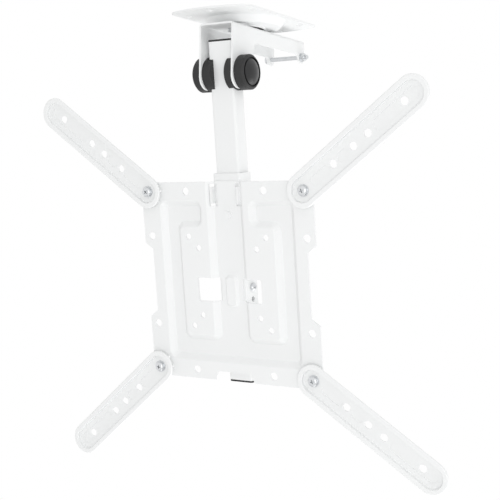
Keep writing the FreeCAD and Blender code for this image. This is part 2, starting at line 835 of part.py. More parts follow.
def carrier_locks():
    """Two cross screws from the right whose ends are tapped into the carrier's left wall."""
    screws = []
    for name, height in zip(("upper", "lower"), lock_heights()):
        at = (carrier_half, -d.lock_offset, height)
        head = cylinder("lock_head_" + name, d.lock_head_radius, d.lock_head_height, at, "x")
        shank = cylinder("lock_shank_" + name, d.lock_diameter / 2, carrier_half * 2, at, "-x")
        screws.append(join("lock_screw_" + name, head, shank))
    keep("carrier_screws", group("lock_screw_pair", screws), mast_frame)


# Screen plate

def pan_outline(outline):
    """The sunk part of the plate: a frame round two raised pads, open at the top along the centre strip."""
    x, z = d.pan_width / 2, d.pan_height / 2
    strip = d.strip_width / 2
    shelf = d.pad_height / 2
    beyond = d.plate_width / 2 + d.pan_run * 2
    right = [(strip, beyond), (strip, -shelf), (d.pad_outer, -shelf), (d.pad_outer, shelf),
             (d.pad_narrow, shelf), (d.pad_narrow, z), (x, z), (x, -z)]
    left = [(-place[0], place[1]) for place in reversed(right)]
    soft, firm = d.pan_corner, d.pad_corner
    rounds = [None, firm, firm, firm, soft, soft, soft, soft]
    corners = list(reversed(right + left))
    outline.stepped(corners, list(reversed(rounds + rounds[::-1])))


def screen_plate():
    body = new_body("screen_plate")
    half = d.plate_width / 2
    blank = Outline(body, "XZ_Plane")
    blank.stepped(rectangle(half, half), [None] * 4)
    pad(body, blank, d.plate_sheet, flip=True)
    lean = inward_lean(d.pan_run, d.pan_depth)
    back = Outline(body, "XZ_Plane", -d.plate_sheet)
    pan_outline(back)
    pad(body, back, d.pan_depth, flip=True, taper=lean)
    sunk = Outline(body, "XZ_Plane")
    pan_outline(sunk)
    pocket(body, sunk, d.pan_depth, taper=lean)

    def pressed(level):
        """Edges of the pan at a depth, without those of the sheet's outer edge."""
        def wanted(edge):
            middle = edge.CenterOfMass
            inside = max(abs(middle.x), abs(middle.z)) < half.value - 1
            return inside and lies_at(edge, Vector(0, 1, 0), level.value)
        return wanted

    for level in (formula(0), d.pan_depth + d.plate_sheet):
        round_edges(body, d.press_outside, pressed(level))
    for level in (d.pan_depth, d.plate_sheet):
        round_edges(body, d.press_inside, pressed(level))

    rib_corners = [(-d.rib_width / 2, -d.rib_bottom), (d.rib_width / 2, -d.rib_bottom),
                   (d.rib_width / 2, d.rib_top), (-d.rib_width / 2, d.rib_top)]
    rib_lean = inward_lean(d.rib_height, d.rib_height)
    rib = Outline(body, "XZ_Plane", -d.pan_depth)
    rib.stepped(rib_corners, [d.rib_round] * 4)
    pad(body, rib, d.rib_height, taper=rib_lean)
    rib_back = Outline(body, "XZ_Plane", -d.pan_depth - d.plate_sheet)
    rib_back.stepped(rib_corners, [d.rib_round] * 4)
    pocket(body, rib_back, d.rib_height, flip=True, taper=rib_lean)

    through = (d.pan_depth + d.plate_sheet) * 2
    trims = Outline(body, "XZ_Plane")
    top_edge = half + d.pan_run * 4
    trims.stepped([(-half, half), (half, half), (half, top_edge), (-half, top_edge)], [None] * 4)
    inner, outer = d.side_notch_inner / 2, d.side_notch_outer / 2
    for sign in (1, -1):
        floor = half - d.side_notch_depth
        notch = [(half, -outer), (half, outer), (floor, inner), (floor, -inner)]
        if sign < 0:
            notch = [(-x, z) for x, z in reversed(notch)]
        trims.polygon(notch)
    inner, outer = d.foot_notch_inner / 2, d.foot_notch_outer / 2
    foot = d.foot_notch_depth - half
    trims.polygon([(-outer, -half), (outer, -half), (inner, foot), (-inner, foot)])
    for near, far in ((d.window_inner, d.window_outer), (-d.window_outer, -d.window_inner)):
        bottom = -d.window_bottom
        window = [(near, bottom), (far, bottom), (far, d.window_top), (near, d.window_top)]
        trims.stepped(window, [d.window_round] * 4)
    for near, far in ((d.hook_slot_inner, d.hook_slot_outer), (-d.hook_slot_outer, -d.hook_slot_inner)):
        slot = [(near, d.hook_slot_bottom), (far, d.hook_slot_bottom),
                (far, d.hook_slot_top), (near, d.hook_slot_top)]
        trims.stepped(slot, [None] * 4)
    pocket(body, trims, through)

    holes = Outline(body, "XZ_Plane")
    wide, narrow, small = d.pattern_200 / 2, d.pattern_100 / 2, d.pattern_75 / 2
    for x, z in CORNERS.values():
        holes.circle(wide * x, narrow * z, d.flange_hole / 2)
        holes.circle(narrow * x, wide * z, d.flange_hole / 2)
        holes.circle(narrow * x, narrow * z, d.pad_hole / 2)
        holes.circle(small * x, small * z, d.pad_hole / 2)
        holes.circle(wide * x, wide * z, d.arm_screw_diameter / 2)
        for turn in (0, 45, 90):
            across, along = polar(d.index_circle, turn)
            holes.circle((wide - across) * x, (wide - along) * z, d.index_hole / 2)
    holes.circle(0, d.plate_screw_height, d.plate_screw_diameter / 2)
    pocket(body, holes, through)
    return keep("screen_plate", body, plate_frame)


def plate_screw():
    place = (0, d.pan_depth, d.plate_screw_height)
    head = cylinder("plate_screw_head_disc", d.plate_screw_head / 2, d.plate_screw_head_height, place, "-y")
    length = d.plate_sheet + d.carrier_sheet
    shank = cylinder("plate_screw_shank", d.plate_screw_diameter / 2, length, place, "y")
    keep("plate_screw", join("plate_screw_solid", head, shank), plate_frame)


# Extension arms

def extension_arm(corner):
    """A pressed arm along its own X: a rounded rim round a sunk floor with holes and dished beads."""
    body = new_body("arm_" + corner)
    ends = ((0, 0), (d.arm_reach, 0))
    front = arm_seat + d.arm_recess
    floor_radius = d.arm_width / 2 - d.arm_rim
    rim = Outline(body, "XZ_Plane", front)
    rim.stadium(*ends, d.arm_width / 2)
    pad(body, rim, d.arm_sheet, flip=True)
    tray = Outline(body, "XZ_Plane", front)
    tray.stadium(*ends, floor_radius + d.arm_sheet)
    pad(body, tray, d.arm_recess + d.arm_sheet, flip=True)
    forward = Vector(0, -1, 0)
    round_edges(body, d.arm_round, lambda edge: lies_at(edge, forward, front.value))
    hollow = Outline(body, "XZ_Plane", front)
    hollow.stadium(*ends, floor_radius)
    pocket(body, hollow, d.arm_recess)

    def inner(edge, level):
        reach = max(abs(spot.z) for spot in edge.discretize(5))
        return lies_at(edge, forward, level.value) and reach < floor_radius.value + d.arm_edge.value

    for level in (front, arm_seat):
        round_edges(body, d.arm_edge, lambda edge: inner(edge, level))
    beads = Outline(body, "XZ_Plane", arm_seat)
    inset = d.bead_radius * 1.2 + d.arm_hole / 2
    beads.stadium((d.arm_washer_radius + inset, 0), (d.arm_hole_first - inset, 0), d.bead_radius)
    middle = (d.arm_hole_first + d.arm_hole_second) / 2
    beads.stadium((middle - d.bead_radius / 2, 0), (middle + d.bead_radius / 2, 0), d.bead_radius)
    beads.stadium((d.arm_hole_third + inset + d.bead_radius, 0), (d.arm_reach, 0), d.bead_radius * 1.3)
    pocket(body, beads, d.bead_depth)
    holes = Outline(body, "XZ_Plane", front)
    holes.circle(0, 0, d.arm_screw_diameter / 2 + d.pin_gap)
    for place in (d.arm_hole_first, d.arm_hole_second, d.arm_hole_third, d.arm_hole_last):
        holes.circle(place, 0, d.arm_hole / 2)
    pocket(body, holes, d.arm_recess + d.arm_sheet)

    across, up = CORNERS[corner]
    rise = math.radians(getattr(d, "arm_angle_" + corner).value)
    turn = -math.degrees(math.atan2(up * math.sin(rise), across * math.cos(rise)))
    wide = d.pattern_200 / 2
    at_corner = Placement(point(wide * across, 0, wide * up), Rotation(Vector(0, 1, 0), turn))
    return keep("arm_" + corner, body, plate_frame * at_corner)


def arm_fasteners():
    bore = d.arm_screw_diameter / 2
    wide = d.pattern_200 / 2
    washer_back = -(arm_seat + d.slide_gap)
    head_back = washer_back - d.arm_washer_sheet
    head_front = head_back - d.arm_screw_head_height
    screws, washers, nuts = [], [], []
    for corner, (x, z) in CORNERS.items():
        at_x, at_z = wide * x, wide * z
        head = cylinder("arm_head_" + corner, d.arm_screw_head / 2, d.arm_screw_head_height,
                        (at_x, head_back, at_z), "-y")
        length = d.plate_sheet - head_back + d.arm_nut_height + d.arm_screw_tail
        shank = cylinder("arm_shank_" + corner, bore, length, (at_x, head_back, at_z), "y")
        deep = head_front + d.cross_depth / 2
        level = slab("arm_cross_level_" + corner, d.cross_length, d.cross_depth, d.cross_width,
                     (at_x, deep, at_z - d.cross_width / 2))
        upright = slab("arm_cross_upright_" + corner, d.cross_width, d.cross_depth, d.cross_length,
                       (at_x, deep, at_z - d.cross_length / 2))
        screws.append(take("arm_screw_" + corner, join("arm_screw_blank_" + corner, head, shank),
                           join("arm_cross_" + corner, level, upright)))
        washers.append(ring("arm_washer_" + corner, d.arm_washer_radius, bore, d.arm_washer_sheet,
                            (at_x, washer_back, at_z), "-y"))
        nuts.append(hex_nut("arm_nut_" + corner, d.arm_nut_flats, bore, d.arm_nut_height,
                            (at_x, d.plate_sheet, at_z), "y"))
    keep("arm_screws", group("arm_screw_set", screws), plate_frame)
    keep("arm_washers", group("arm_washer_set", washers), plate_frame)
    keep("arm_nuts", group("arm_nut_set", nuts), plate_frame)


def build():
    ceiling_plate()
    swivel()
    hinge_bracket()
    cross_rod()
    pivot()
    mast_tube()
    mast_cap("mast_cap_top", d.mast_above, True)
    mast_cap("mast_cap_bottom", -d.mast_below, False)
    carrier()
    carrier_locks()
    screen_plate()
    plate_screw()
    for corner in CORNERS:
        extension_arm(corner)
    arm_fasteners()
    doc.recompute()


def write():
    """Refuses a failed object or a broken solid, then writes one file per piece."""
    for thing in doc.Objects:
        if "Invalid" in thing.State or "Error" in thing.State:
            raise RuntimeError("%s did not build: %s" % (thing.Name, thing.State))
    for name, thing in NODES.items():
        if thing.Shape.isNull() or not thing.Shape.isValid() or not thing.Shape.Solids:
            raise RuntimeError("%s has no valid solid" % name)
    os.makedirs("parts", exist_ok=True)
    for name, thing in NODES.items():
        thing.Shape.exportStep(os.path.join("parts", name + ".step"))
        print(name, len(thing.Shape.Solids), round(thing.Shape.Volume, 1))


build()
write()
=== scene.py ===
import json
import math
import bpy
from bpy.props import FloatProperty, FloatVectorProperty, PointerProperty
from mathutils import Matrix, Vector


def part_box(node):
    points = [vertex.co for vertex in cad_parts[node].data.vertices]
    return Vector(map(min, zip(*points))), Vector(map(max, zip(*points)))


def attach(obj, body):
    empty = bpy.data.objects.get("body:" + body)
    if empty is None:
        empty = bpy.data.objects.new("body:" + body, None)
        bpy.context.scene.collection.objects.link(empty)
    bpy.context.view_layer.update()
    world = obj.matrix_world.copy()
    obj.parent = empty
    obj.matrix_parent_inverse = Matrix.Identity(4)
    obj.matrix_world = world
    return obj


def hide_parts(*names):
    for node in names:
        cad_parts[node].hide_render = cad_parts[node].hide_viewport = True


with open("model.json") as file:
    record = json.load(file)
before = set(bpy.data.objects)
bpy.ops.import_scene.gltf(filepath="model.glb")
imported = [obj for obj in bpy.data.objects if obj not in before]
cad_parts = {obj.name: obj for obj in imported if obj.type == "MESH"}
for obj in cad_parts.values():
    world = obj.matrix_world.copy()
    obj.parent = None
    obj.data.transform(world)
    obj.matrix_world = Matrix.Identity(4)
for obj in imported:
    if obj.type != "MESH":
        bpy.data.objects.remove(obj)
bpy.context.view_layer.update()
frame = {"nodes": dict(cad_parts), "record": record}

bl_info = {
    "name": "Folding Screen Mount",
    "version": (1, 0, 0),
    "blender": (4, 5, 0),
    "location": "View3D > Sidebar > Screen Mount",
    "description": "Finishes, fasteners and studio for a folding ceiling mount "
                   "with a screen plate on four arms",
    "category": "Object",
}

MM = 0.001
RECORD = frame["record"]
NODES = frame["nodes"]
JOINTS = {joint["name"]: joint for joint in RECORD["behaviour"]["joints"]}
MOUNTS = {mount["name"]: mount for mount in RECORD["mounts"]}

# Directions and places that the fasteners are set by
RIGHT, LEFT = (1, 0, 0), (-1, 0, 0)
UP, DOWN = (0, 0, 1), (0, 0, -1)
PLATE_FRONT = Vector(MOUNTS["screen_holes_100"]["axis"])
ARM_PIVOTS = [Vector(JOINTS["arm_%s_swing" % corner]["pos_m"])
              for corner in ("tr", "tl", "bl", "br")]

# CAD nodes by their finish
PRESSINGS = ("ceiling_plate", "hinge_bracket", "mast_tube", "carrier", "screen_plate",
             "plate_screw", "arm_tl", "arm_tr", "arm_bl", "arm_br")
MOULDINGS = ("friction_disc", "cover_left", "cover_right", "spacer_left", "spacer_right",
             "mast_cap_top", "mast_cap_bottom")
GLOSS_CAPS = ("cap_left", "cap_right")
HARDWARE = ("swivel_bolt", "swivel_washer", "swivel_nut", "clamp_screws", "clamp_washers",
            "stop_rod", "rod_washers", "rod_nut", "pivot_bolt", "pivot_nut", "carrier_screws",
            "arm_screws", "arm_washers", "arm_nuts")

# Sides of the round blanks
HEAD_SIDES = 40
SHANK_SIDES = 28
BORE_SIDES = 32
CHAMFER_SIDES = 50
COLLAR_SIDES = 96
DOME_SEGMENTS = 72
DOME_RINGS = 90
HEX_SIDES = 6

# Threads: the ridge's section as a share of the pitch, how far it is flattened, faces in a turn
RIDGE_SHARE = 0.42
RIDGE_FLATTENED = 0.3
RIDGE_STEPS = 20
SCREW_PITCH = 1.0 * MM
ROD_PITCH = 0.8 * MM
CLAMP_PITCH = 1.25 * MM
LOCK_THREAD = 2 * MM
SHANK_CHAMFER = 0.07

# Hexagons: how far the chamfering cone stands over the blank, and its cut against the corners
CONE_OVER = 0.05 * MM
CONE_CUT = 1.15

# Pan heads: the dome and lower rim as shares of the height, the cross recess of width and height
PAN_DOME, PAN_DOME_SEGMENTS = 0.62, 6
PAN_RIM, PAN_RIM_SEGMENTS = 0.07, 2
CROSS_LENGTH, CROSS_WIDTH, CROSS_DEPTH, CROSS_TAPER = 0.56, 0.12, 1.1, 0.45

# Turns of the heads, in radians, so that no two screws stand alike
ARM_SCREW_TURN, ARM_SCREW_STEP = 0.35, 0.5
ARM_NUT_STEP = 0.2
LOCK_SCREW_TURN = 0.3

# Rims of the hinge caps and of the disc's collar
CAP_RIM, CAP_RIM_SEGMENTS = 0.18, 3
COLLAR_RIM, COLLAR_RIM_SEGMENTS = 0.4 * MM, 3
COLLAR_SUNK = 0.5 * MM
COLLAR_BORE = 10 * MM

SAME_HEIGHT = 1e-6
SMOOTH_ANGLE = math.radians(32)

# Lamps: place, aim and width in metres; the power is the stage setting of the same name
LAMPS = {
    "key": ((2.6, -1.6, 1.4), (0, 0, -0.25), 1.6),
    "front": ((1.1, -1.9, -0.6), (0, 0, -0.1), 1.2),
    "low": ((0.8, 0.9, -1.0), (0, 0, -0.05), 0.8),
    "under": ((0.25, 0.25, -1.8), (0, 0, 0), 1.0),
}
BRIGHT_SIDE = Vector((0.86, -0.3, 0.2)).normalized()
WHITE = (1, 1, 1, 1)
FLOOR_WHITE = "#F4F4F4"

# Camera fitted to the photograph: directions to its right and rear, and its place in metres
CAMERA_RIGHT = Vector((0.84302, 0.53777, 0.01125))
CAMERA_BACK = Vector((0.53744, -0.84299, 0.02312)).normalized()
CAMERA_PLACE = (0.65542, -1.01341, -0.22536)
SENSOR_WIDTH = 36
CLIP_START = 0.01


def srgb(code):
    """A hex colour as linear red, green and blue."""
    channels = [int(code[place:place + 2], 16) / 255 for place in (1, 3, 5)]
    return tuple(c / 12.92 if c <= 0.04045 else ((c + 0.055) / 1.055) ** 2.4 for c in channels)


# Settings

class FinishSettings(bpy.types.PropertyGroup):
    """Colours of the mount's four finishes and the width of their patterns"""
    coat: FloatVectorProperty(
        name="Powder coat", description="White of the coated steel",
        subtype="COLOR", size=3, min=0, max=1, default=srgb("#F0F1F1"))
    zinc: FloatVectorProperty(
        name="Zinc", description="Grey of the plated screws and nuts",
        subtype="COLOR", size=3, min=0, max=1, default=srgb("#E2E4E6"))
    nylon: FloatVectorProperty(
        name="Nylon", description="Black of the moulded covers and plugs",
        subtype="COLOR", size=3, min=0, max=1, default=srgb("#161617"))
    cap: FloatVectorProperty(
        name="Cap", description="Black of the domed hinge caps",
        subtype="COLOR", size=3, min=0, max=1, default=srgb("#101012"))
    peel: FloatProperty(
        name="Coat ripple", description="Width of the powder coat's ripple",
        subtype="DISTANCE", unit="LENGTH", default=2.2 * MM, min=0.2 * MM)
    spark: FloatProperty(
        name="Mould grain", description="Width of the grain left by the mould",
        subtype="DISTANCE", unit="LENGTH", default=1.1 * MM, min=0.1 * MM)


class FastenerSettings(bpy.types.PropertyGroup):
    """Sizes of the screws, nuts, caps and collar that are modelled here"""
    arm_head: FloatProperty(
        name="Arm screw head", description="Width of the arm screws' pan head",
        unit="LENGTH", default=11 * MM)
    arm_head_height: FloatProperty(
        name="Arm head height", description="Height of the arm screws' head",
        unit="LENGTH", default=3.4 * MM)
    arm_shank: FloatProperty(
        name="Arm screw", description="Diameter of the arm screws",
        unit="LENGTH", default=6 * MM)
    arm_seat: FloatProperty(
        name="Arm head seat", description="Height of the head's seat over the plate",
        unit="LENGTH", default=3.1 * MM)
    arm_grip: FloatProperty(
        name="Arm screw depth", description="Length of the arm screw behind the plate's face",
        unit="LENGTH", default=8.5 * MM)
    arm_tail: FloatProperty(
        name="Arm screw tail", description="Length of thread beyond the arm nut",
        unit="LENGTH", default=1.5 * MM)
    arm_flats: FloatProperty(
        name="Arm nut", description="Width across flats of the arm nuts",
        unit="LENGTH", default=10 * MM)
    plate_sheet: FloatProperty(
        name="Plate sheet", description="Thickness of the screen plate",
        unit="LENGTH", default=2 * MM)
    lock_head: FloatProperty(
        name="Carrier screw head", description="Width of the carrier screw's pan head",
        unit="LENGTH", default=9.2 * MM)
    lock_head_height: FloatProperty(
        name="Carrier head height", description="Height of the carrier screw's head",
        unit="LENGTH", default=3.2 * MM)
    lock_shank: FloatProperty(
        name="Carrier screw", description="Diameter of the carrier screws",
        unit="LENGTH", default=6 * MM)
    lock_sunk: FloatProperty(
        name="Carrier stud depth", description="Depth of the headless carrier screw in its hole",
        unit="LENGTH", default=4 * MM)
    rod_head_height: FloatProperty(
        name="Rod head height", description="Height of the cross rod's head",
        unit="LENGTH", default=3.5 * MM)
    rod_shank: FloatProperty(
        name="Cross rod", description="Diameter of the cross rod",
        unit="LENGTH", default=5 * MM)
    swivel_head_height: FloatProperty(
        name="Swivel head height", description="Height of the swivel bolt's head",
        unit="LENGTH", default=6 * MM)
    swivel_shank: FloatProperty(
        name="Swivel bolt", description="Diameter of the swivel bolt",
        unit="LENGTH", default=10 * MM)
    clamp_head_height: FloatProperty(
        name="Clamp head height", description="Height of the clamp screws' head",
        unit="LENGTH", default=5.3 * MM)
    clamp_shank: FloatProperty(
        name="Clamp screw", description="Diameter of the clamp screws",
        unit="LENGTH", default=8 * MM)
    clamp_tail: FloatProperty(
        name="Clamp tail", description="Length of thread below the bracket",
        unit="LENGTH", default=3.5 * MM)
    cap_width: FloatProperty(
        name="Hinge cap", description="Width of the domed hinge caps",
        unit="LENGTH", default=27.2 * MM)
    cap_dome: FloatProperty(
        name="Cap dome", description="Rise of the hinge caps' dome",
        unit="LENGTH", default=4.4 * MM)
    cap_edge: FloatProperty(
        name="Cap edge", description="Height of the straight edge under the dome",
        unit="LENGTH", default=2.2 * MM)
    plug_width: FloatProperty(
        name="Cap plug", description="Width of the plug behind each hinge cap",
        unit="LENGTH", default=20 * MM)
    plug_depth: FloatProperty(
        name="Cap plug depth", description="Depth of the plug behind each hinge cap",
        unit="LENGTH", default=0.7 * MM)
    collar_radius: FloatProperty(
        name="Disc collar", description="Radius of the collar that holds the friction disc",
        unit="LENGTH", default=22 * MM)
    collar_wall: FloatProperty(
        name="Collar wall", description="Wall of the disc's collar",
        unit="LENGTH", default=1.8 * MM)
    collar_gap: FloatProperty(
        name="Collar gap", description="Gap between the disc's collar and the bracket",
        unit="LENGTH", default=1.2 * MM)


class StageSettings(bpy.types.PropertyGroup):
    """Floor, lamps and camera"""
    floor_drop: FloatProperty(
        name="Floor drop", description="Height of the ceiling plate over the floor",
        unit="LENGTH", default=2.4)
    floor_width: FloatProperty(
        name="Floor width", description="Width of the floor under the mount",
        unit="LENGTH", default=4.0)
    key: FloatProperty(
        name="Key lamp", description="Power of the lamp high on the right",
        unit="POWER", default=5.5)
    front: FloatProperty(
        name="Front lamp", description="Power of the lamp behind the camera",
        unit="POWER", default=10.5)
    low: FloatProperty(
        name="Low lamp", description="Power of the lamp low behind the mount on the right",
        unit="POWER", default=3.5)
    under: FloatProperty(
        name="Under lamp", description="Power of the lamp straight under the mount",
        unit="POWER", default=8.5)
    sky: FloatProperty(
        name="Surround", description="Strength of the even light all round",
        default=0.81, min=0)
    lean: FloatProperty(
        name="Light lean", description="How much brighter the surround is on the right",
        default=0.06, min=0, max=1)
    lens: FloatProperty(
        name="Lens", description="Focal length on a 36 mm sensor",
        unit="CAMERA", default=78.79)


# Materials

def add_node(tree, kind, links=None, **settings):
    """Adds a node, sets its properties or input values and links its named inputs."""
    node = tree.nodes.new(kind)
    for name, value in settings.items():
        if name in node.inputs:
            node.inputs[name].default_value = value
        else:
            setattr(node, name, value)
    for name, source in (links or {}).items():
        tree.links.new(source, node.inputs[name])
    return node


def new_material(name):
    """An empty material with its node tree."""
    material = bpy.data.materials.new(name)
    material.use_nodes = True
    material.node_tree.nodes.clear()
    return material, material.node_tree


def object_place(tree):
    """The place on the object, so that a pattern keeps its real size."""
    return add_node(tree, "ShaderNodeTexCoord").outputs["Object"]


def mottle(tree, place, width, **settings):
    """An uneven pattern whose patches have a real width."""
    noise = add_node(tree, "ShaderNodeTexNoise", {"Vector": place}, Scale=1 / width, **settings)
    return noise.outputs["Fac"]


def tone(tree, pattern, dark, light):
    """A colour that follows a pattern from dark to light."""
    mix = add_node(tree, "ShaderNodeMix", {"Factor": pattern}, data_type="RGBA")
    mix.inputs["A"].default_value = (*dark, 1)
    mix.inputs["B"].default_value = (*light, 1)
    return mix.outputs["Result"]


def sheen(tree, pattern, glossy, dull):
    """A roughness that follows a pattern from glossy to dull."""
    span = add_node(tree, "ShaderNodeMapRange", {"Value": pattern})
    span.inputs["To Min"].default_value = glossy
    span.inputs["To Max"].default_value = dull
    return span.outputs["Result"]


def relief(tree, pattern, strength, depth):
    """A fine unevenness of the surface that follows a pattern."""
    bump = add_node(tree, "ShaderNodeBump", {"Height": pattern}, Strength=strength, Distance=depth)
    return bump.outputs["Normal"]


def surface(tree, links, **constants):
    """Ends a material in one shader."""
    shader = add_node(tree, "ShaderNodeBsdfPrincipled", links, **constants)
    add_node(tree, "ShaderNodeOutputMaterial", {"Surface": shader.outputs["BSDF"]})
    return shader


def powder_coated_steel(settings):
    """Baked powder coat: an even satin white with a faint ripple where the powder flowed."""
    material, tree = new_material("powder_coated_steel")
    place = object_place(tree)
    coat = Vector(settings.coat)
    ripple = mottle(tree, place, settings.peel, Detail=3.0, Roughness=0.45)
    # Broad drift in the film's thickness, a hand's width across
    drift = mottle(tree, place, 90 * MM, Detail=2.0)
    surface(tree, {
        "Base Color": tone(tree, drift, dark=coat * 0.97, light=coat),
        "Roughness": sheen(tree, ripple, glossy=0.36, dull=0.5),
        "Normal": relief(tree, ripple, strength=0.12, depth=0.06 * MM),
    }, IOR=1.5)
    return material


def zinc_plated_steel(settings):
    """Zinc plate: a grey metal with cloudy bright and dull patches and a fine grit."""
    material, tree = new_material("zinc_plated_steel")
    place = object_place(tree)
    zinc = Vector(settings.zinc)
    cloud = mottle(tree, place, 2.5 * MM, Detail=4.0)
    grit = mottle(tree, place, 0.6 * MM, Detail=2.0)
    surface(tree, {
        "Base Color": tone(tree, cloud, dark=zinc * 0.82, light=zinc),
        "Roughness": sheen(tree, cloud, glossy=0.24, dull=0.42),
        "Normal": relief(tree, grit, strength=0.15, depth=0.03 * MM),
    }, Metallic=1.0)
    return material


def moulded_nylon(settings):
    """Black nylon from a spark-eroded mould: matt, with a fine even grain."""
    material, tree = new_material("moulded_nylon")
    place = object_place(tree)
    nylon = Vector(settings.nylon)
    grain = mottle(tree, place, settings.spark, Detail=4.0, Roughness=0.6)
    surface(tree, {
        "Base Color": tone(tree, grain, dark=nylon * 0.75, light=nylon * 1.2),
        "Roughness": sheen(tree, grain, glossy=0.42, dull=0.6),
        "Normal": relief(tree, grain, strength=0.25, depth=0.05 * MM),
    }, IOR=1.53)
    return material


def polished_abs(settings):
    """Black ABS: a deep black with a soft gloss that varies a little where the melt flowed."""
    material, tree = new_material("polished_abs")
    place = object_place(tree)
    cap = Vector(settings.cap)
    flow = mottle(tree, place, 9 * MM, Detail=1.0)
    surface(tree, {
        "Base Color": tone(tree, flow, dark=cap * 0.8, light=cap),
        "Roughness": sheen(tree, flow, glossy=0.3, dull=0.38),
    }, IOR=1.54)
    return material


def dress(names, material):
    """Gives CAD nodes a material."""
    for name in names:
        for slot in NODES[name].material_slots:
            slot.material = material


# Modelling

def deselect():
    """Leaves edit mode and selects nothing."""
    if bpy.context.object and bpy.context.object.mode != "OBJECT":
        bpy.ops.object.mode_set(mode="OBJECT")
    bpy.ops.object.select_all(action="DESELECT")


def pick(*objects):
    """Selects objects and makes the first one active."""
    deselect()
    for thing in objects:
        thing.select_set(True)
    bpy.context.view_layer.objects.active = objects[0]


def settle():
    """Takes the new object's place, turn and scale into its mesh."""
    bpy.ops.object.transform_apply(location=True, rotation=True, scale=True)
    return bpy.context.object


def select_vertices(thing, wanted):
    """Selects, in edit mode, the vertices that the test picks by their place."""
    bpy.ops.object.mode_set(mode="EDIT")
    bpy.ops.mesh.select_mode(type="VERT")
    bpy.ops.mesh.select_all(action="DESELECT")
    bpy.ops.object.mode_set(mode="OBJECT")
    for vertex in thing.data.vertices:
        vertex.select = wanted(vertex.co)
    bpy.ops.object.mode_set(mode="EDIT")


def turned_blank(radius, depth, sides, base=0.0):
    """A round or many-sided blank that stands on a height along Z."""
    deselect()
    bpy.ops.mesh.primitive_cylinder_add(
        vertices=sides, radius=radius, depth=depth, end_fill_type="NGON",
        location=(0, 0, base + depth / 2))
    return settle()


def bevel_rims(thing, heights, width, segments):
    """Bevels the rims of a blank that lie at the given heights, one rim after another."""
    pick(thing)
    for height in heights:
        select_vertices(thing, lambda co: abs(co.z - height) < SAME_HEIGHT)
        bpy.ops.mesh.select_mode(type="EDGE")
        bpy.ops.mesh.bevel(offset=width, segments=segments, affect="EDGES", offset_type="OFFSET")
        bpy.ops.object.mode_set(mode="OBJECT")


def combine(base, tool, operation):
    """Applies a boolean to a blank and removes the tool."""
    pick(base)
    cut = base.modifiers.new("cut", "BOOLEAN")
    cut.operation = operation
    cut.solver = "EXACT"
    cut.object = tool
    bpy.ops.object.modifier_apply(modifier=cut.name)
    bpy.data.objects.remove(tool, do_unlink=True)
    return base


def hex_blank(flats, height):
    """A hexagon whose corners are rounded off by a cone at both ends."""
    corner = flats / math.sqrt(3)
    blank = turned_blank(corner, height, HEX_SIDES)
    cone = turned_blank(corner + CONE_OVER, height + 2 * CONE_OVER, CHAMFER_SIDES, -CONE_OVER)
    cut = (corner - flats / 2) * CONE_CUT + CONE_OVER
    bevel_rims(cone, (-CONE_OVER, height + CONE_OVER), cut, 1)
    return combine(blank, cone, "INTERSECT")


def hex_nut(flats, height, bore):
    """A chamfered hexagon nut with a bore of a given radius, its seat at the origin."""
    nut = hex_blank(flats, height)
    tool = turned_blank(bore, height * 2, BORE_SIDES, -height / 2)
    return combine(nut, tool, "DIFFERENCE")


def thread(radius, length, pitch):
    """A helical ridge that rises along Z from the origin, with both ends closed."""
    deselect()
    bpy.ops.mesh.primitive_circle_add(
        vertices=3, radius=pitch * RIDGE_SHARE, fill_type="NOTHING",
        rotation=(math.pi / 2, 0, 0))
    ridge = settle()
    select_vertices(ridge, lambda co: True)
    bpy.ops.transform.rotate(value=math.radians(90), orient_axis="Y", center_override=(0, 0, 0))
    bpy.ops.transform.resize(value=(RIDGE_FLATTENED, 1, 1), center_override=(0, 0, 0))
    bpy.ops.transform.translate(value=(radius, 0, pitch * 0.5))
    bpy.ops.object.mode_set(mode="OBJECT")
    helix = ridge.modifiers.new("helix", "SCREW")
    helix.axis = "Z"
    helix.steps = RIDGE_STEPS
    helix.render_steps = RIDGE_STEPS
    helix.iterations = max(1, int(length / pitch) - 1)
    helix.screw_offset = pitch
    bpy.ops.object.modifier_apply(modifier=helix.name)
    bpy.ops.object.mode_set(mode="EDIT")
    bpy.ops.mesh.select_mode(type="EDGE")
    bpy.ops.mesh.select_all(action="DESELECT")
    bpy.ops.mesh.select_non_manifold()
    bpy.ops.mesh.fill()
    bpy.ops.mesh.select_all(action="SELECT")
    bpy.ops.mesh.normals_make_consistent(inside=False)
    bpy.ops.object.mode_set(mode="OBJECT")
    return ridge


def shank(diameter, length, threaded, pitch):
    """A shank that hangs from the origin, with a chamfered end and a thread on its last stretch."""
    blank = turned_blank(diameter / 2, length, SHANK_SIDES, -length)
    bevel_rims(blank, (-length,), diameter * SHANK_CHAMFER, 1)
    ridge = thread(diameter / 2, threaded, pitch)
    pick(ridge)
    ridge.location.z = -length
    settle()
    return [blank, ridge]


def pan_screw(head_width, head_height, diameter, length, threaded, pitch):
    """A screw with a domed head and a cross recess, its seat at the origin."""
    head = turned_blank(head_width / 2, head_height, HEAD_SIDES)
    bevel_rims(head, (head_height,), head_height * PAN_DOME, PAN_DOME_SEGMENTS)
    bevel_rims(head, (0,), head_height * PAN_RIM, PAN_RIM_SEGMENTS)
    wing_size = (head_width * CROSS_LENGTH, head_width * CROSS_WIDTH, head_height * CROSS_DEPTH)
    for turn in (0, math.pi / 2):
        deselect()
        bpy.ops.mesh.primitive_cube_add(
            size=1, location=(0, 0, head_height), rotation=(0, 0, turn), scale=wing_size)
        wing = settle()
        select_vertices(wing, lambda co: co.z < head_height)
        bpy.ops.transform.resize(value=(CROSS_TAPER, CROSS_TAPER, 1))
        bpy.ops.object.mode_set(mode="OBJECT")
        combine(head, wing, "DIFFERENCE")
    return merge("pan_screw", [head] + shank(diameter, length, threaded, pitch))


